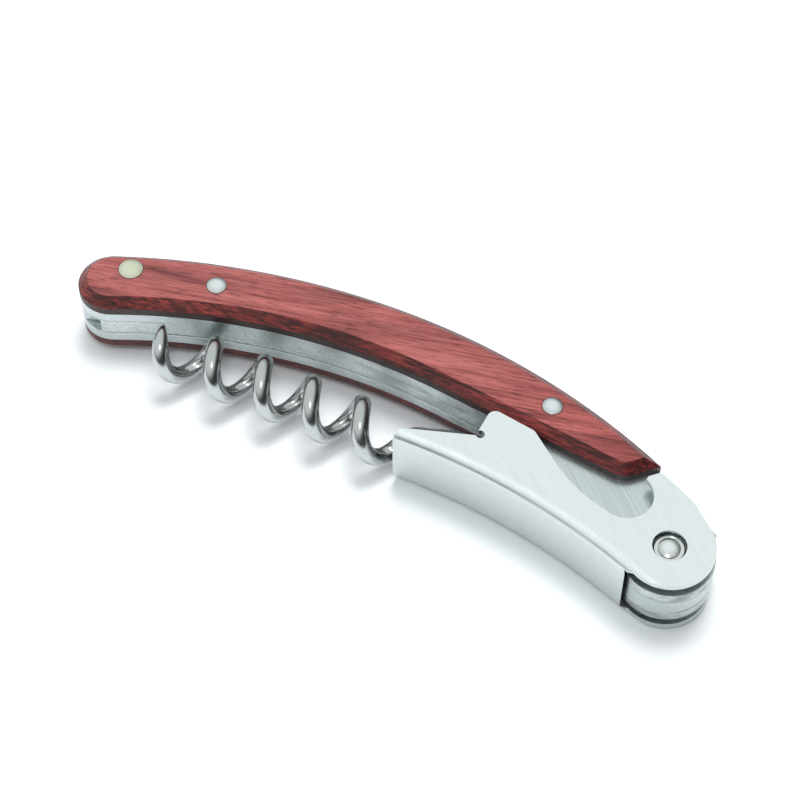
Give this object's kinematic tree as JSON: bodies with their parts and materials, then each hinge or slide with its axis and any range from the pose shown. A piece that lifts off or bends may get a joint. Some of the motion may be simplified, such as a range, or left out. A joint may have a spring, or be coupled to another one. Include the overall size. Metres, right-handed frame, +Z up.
{
  "type": "waiters corkscrew",
  "caption": "Folding corkscrew lying closed on its side: curved wooden handle, lever folded over a wire worm, and a small foil knife in the back.",
  "frame": {"origin": "middle of the closed tool's footprint, on the surface that it lies on", "axes": "+Z up along the hinge pins, +X along the length towards the lever's nose, +Y towards the convex back"},
  "size_m": [0.1214, 0.0314, 0.0147],
  "materials": {
    "scale_wood": "satin oiled red hardwood with dark streaks along the grain",
    "liner_steel": "fine brushed stainless steel",
    "spring_steel": "ground stainless steel with a speckled edge",
    "lever_steel": "light satin stainless sheet",
    "worm_steel": "polished steel wire, slightly rough in the flute",
    "blade_steel": "satin stainless blade",
    "rivet_steel": "polished stainless rivet",
    "washer_steel": "turned stainless ring",
    "pin_brass": "pale polished brass"
  },
  "bodies": {
    "handle": {"front_liner": "liner_steel", "rear_liner": "liner_steel", "back_spring": "spring_steel", "nose_spacer": "spring_steel", "front_scale": "scale_wood", "rear_scale": "scale_wood", "knife_pin": "pin_brass", "front_knife_washer": "washer_steel", "rear_knife_washer": "washer_steel", "left_rivet_stud": "rivet_steel", "left_rivet_socket": "rivet_steel", "right_rivet_stud": "rivet_steel", "right_rivet_socket": "rivet_steel", "lever_rivet": "rivet_steel", "front_worm_washer": "washer_steel", "rear_worm_washer": "washer_steel", "worm_pin": "rivet_steel"},
    "lever": {"lever": "lever_steel", "front_lever_bush": "washer_steel", "rear_lever_bush": "washer_steel"},
    "worm": {"worm": "worm_steel"},
    "knife": {"knife_blade": "blade_steel"}
  },
  "joints": [
    {"name": "lever_pivot", "type": "hinge", "parent": "handle", "child": "lever", "pos_m": [0.05298, -0.008, 0.00735], "axis": [0, 0, 1], "range_deg": [0, 165]},
    {"name": "worm_pivot", "type": "hinge", "parent": "handle", "child": "worm", "pos_m": [0.02123, -0.0032, 0.00735], "axis": [0, 0, 1], "range_deg": [0, 90]},
    {"name": "knife_pivot", "type": "hinge", "parent": "handle", "child": "knife", "pos_m": [-0.0526, 0.00114, 0.00735], "axis": [0, 0, 1], "range_deg": [0, 160]}
  ],
  "couplings": [
    {"joint": "worm_pivot", "follows": "lever_pivot", "ratio": 0.545}
  ]
}
